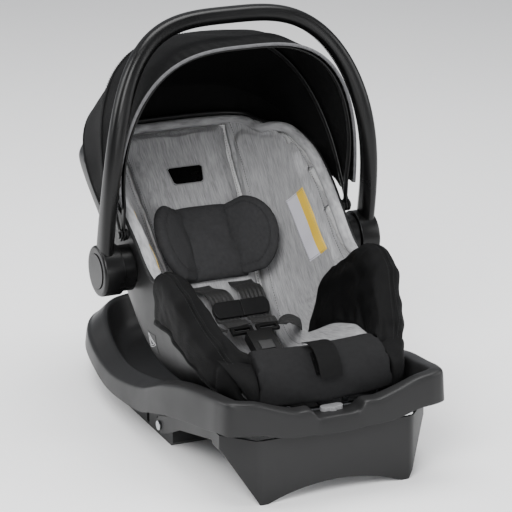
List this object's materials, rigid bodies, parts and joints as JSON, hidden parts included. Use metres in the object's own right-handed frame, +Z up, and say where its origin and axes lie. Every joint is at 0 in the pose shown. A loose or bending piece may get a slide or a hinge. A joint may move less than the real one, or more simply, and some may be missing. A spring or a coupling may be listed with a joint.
{
  "type": "infant car seat",
  "caption": "Rear-facing infant car seat: padded carrier with swinging handle, folding canopy and harness, seated in a vehicle base with a recline foot and release button.",
  "frame": {"origin": "centre of the bounding box's underside, on the surface that the base stands on", "axes": "+X to the seat's left-hand hub seen from the foot end, +Y towards the head end, +Z up"},
  "size_m": [0.4344, 0.659, 0.6012],
  "materials": {
    "shell_plastic": "satin moulded polypropylene with a fine grain",
    "black_plastic": "satin black moulded plastic",
    "button_grey": "satin mid grey moulded plastic",
    "steel": "bright zinc-plated steel",
    "foam": "expanded polystyrene beads",
    "heather_cloth": "light heather grey woven cloth",
    "dark_cloth": "dark grey brushed knit",
    "black_cloth": "black woven cloth",
    "webbing": "black polyester webbing",
    "patch_print": "plain two-tone sewn patch without lettering",
    "sticker_film": "plain level sticker film"
  },
  "bodies": {
    "base": {"base_tray": "shell_plastic", "base_underbody": "shell_plastic", "base_screws": "steel", "foot_pins": "steel", "latch_spring": "steel"},
    "foot": {"recline_foot": "shell_plastic"},
    "release": {"release_button": "button_grey"},
    "latch": {"latch_slider": "steel"},
    "carrier": {"carrier_shell": "shell_plastic", "foam_liner": "foam", "seat_pad": "heather_cloth", "side_pad_left": "heather_cloth", "side_pad_right": "heather_cloth", "front_cushion": "dark_cloth", "wing_cover_left": "black_cloth", "wing_cover_right": "black_cloth", "head_support_back": "dark_cloth", "head_support_left": "dark_cloth", "head_support_right": "dark_cloth", "badge": "black_plastic", "patch_left": "patch_print", "patch_right": "patch_print", "level_sticker": "sticker_film", "shoulder_strap_left": "webbing", "shoulder_strap_right": "webbing", "lap_strap_left": "webbing", "lap_strap_right": "webbing", "chest_clip_left": "black_plastic", "chest_clip_right": "black_plastic", "buckle_body": "black_plastic", "tongue_left": "steel", "tongue_right": "steel", "crotch_strap": "webbing", "adjuster_housing": "black_plastic", "adjuster_flap": "webbing", "splitter_plate": "steel", "latch_bar_front": "steel", "latch_bar_rear": "steel", "hub_base_left": "black_plastic", "hub_base_right": "black_plastic", "hub_pin_left": "steel", "hub_pin_right": "steel", "hub_spring_left": "steel", "hub_spring_right": "steel", "canopy_mount_left": "black_plastic", "canopy_mount_right": "black_plastic", "canopy_rear_panel": "black_cloth"},
    "buckle_press": {"buckle_button": "button_grey"},
    "adjuster": {"adjuster_lever": "steel"},
    "handle": {"handle_bow": "black_plastic"},
    "hub_left": {"hub_button_left": "black_plastic"},
    "hub_right": {"hub_button_right": "black_plastic"},
    "canopy_mid": {"mid_bow": "black_plastic", "canopy_front_panel": "black_cloth"},
    "canopy_front": {"front_bow": "black_plastic"}
  },
  "joints": [
    {"name": "foot_recline", "type": "hinge", "parent": "base", "child": "foot", "pos_m": [0, -0.058, 0.028], "axis": [-1, 0, 0], "range_deg": [0, 3]},
    {"name": "release_press", "type": "slide", "parent": "base", "child": "release", "axis": [0, 0, -1], "range_m": [0, 0.005], "stiffness_N_per_m": 400},
    {"name": "latch_draw", "type": "slide", "parent": "base", "child": "latch", "axis": [0, 1, 0], "range_m": [0, 0.006], "deforming": ["latch_spring"]},
    {"name": "carrier_lift", "type": "slide", "parent": "base", "child": "carrier", "axis": [0, 0, 1], "range_m": [0, 0.3]},
    {"name": "buckle_press", "type": "slide", "parent": "carrier", "child": "buckle_press", "axis": [0, 0.4067, -0.9135], "range_m": [0, 0.003], "stiffness_N_per_m": 600},
    {"name": "adjuster_press", "type": "hinge", "parent": "carrier", "child": "adjuster", "pos_m": [0, -0.27623, 0.18308], "axis": [1, 0, 0], "range_deg": [0, 7], "stiffness_Nm_per_rad": 0.05},
    {"name": "handle_swing", "type": "hinge", "parent": "carrier", "child": "handle", "pos_m": [0, 0.022, 0.243], "axis": [1, 0, 0], "range_deg": [-85, 75]},
    {"name": "hub_press_left", "type": "slide", "parent": "handle", "child": "hub_left", "axis": [1, 0, 0], "range_m": [0, 0.0045], "stiffness_N_per_m": 800, "deforming": ["hub_spring_left"]},
    {"name": "hub_press_right", "type": "slide", "parent": "handle", "child": "hub_right", "axis": [-1, 0, 0], "range_m": [0, 0.0045], "stiffness_N_per_m": 800, "deforming": ["hub_spring_right"]},
    {"name": "canopy_mid_fold", "type": "hinge", "parent": "carrier", "child": "canopy_mid", "pos_m": [0, 0.023, 0.292], "axis": [-1, 0, 0], "range_deg": [0, 18], "deforming": ["canopy_rear_panel"]},
    {"name": "canopy_front_fold", "type": "hinge", "parent": "canopy_mid", "child": "canopy_front", "pos_m": [0, 0.023, 0.292], "axis": [-1, 0, 0], "range_deg": [0, 18], "deforming": ["canopy_front_panel"]}
  ],
  "couplings": [
    {"joint": "latch_draw", "follows": "release_press", "ratio": 1.2},
    {"joint": "canopy_front_fold", "follows": "canopy_mid_fold", "ratio": 1}
  ]
}
